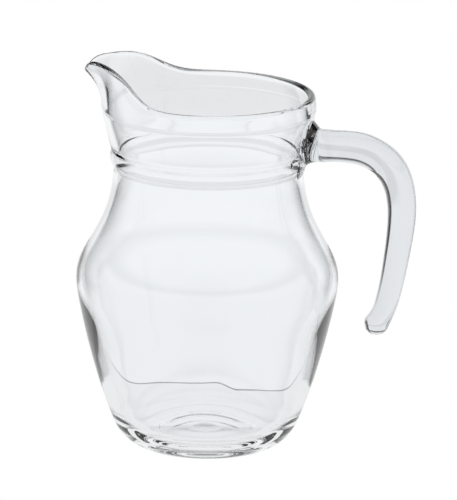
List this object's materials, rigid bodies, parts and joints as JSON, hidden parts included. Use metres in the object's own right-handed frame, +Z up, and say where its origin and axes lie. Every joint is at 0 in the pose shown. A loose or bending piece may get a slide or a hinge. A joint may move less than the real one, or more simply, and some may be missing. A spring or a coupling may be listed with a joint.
{
  "type": "water jug",
  "caption": "Clear glass pouring jug with a round belly, narrow ringed neck, drooping pouring lip and an open handle fused to the neck.",
  "frame": {"origin": "centre of the base on the jug's axis, on the plane of the standing ring", "axes": "+Z up along the jug's axis, +X towards the handle, -X towards the spout"},
  "size_m": [0.165, 0.127, 0.1889],
  "materials": {
    "clear_glass": "clear, fire polished"
  },
  "bodies": {
    "root": {"jug_body": "clear_glass", "handle": "clear_glass"}
  },
  "joints": []
}
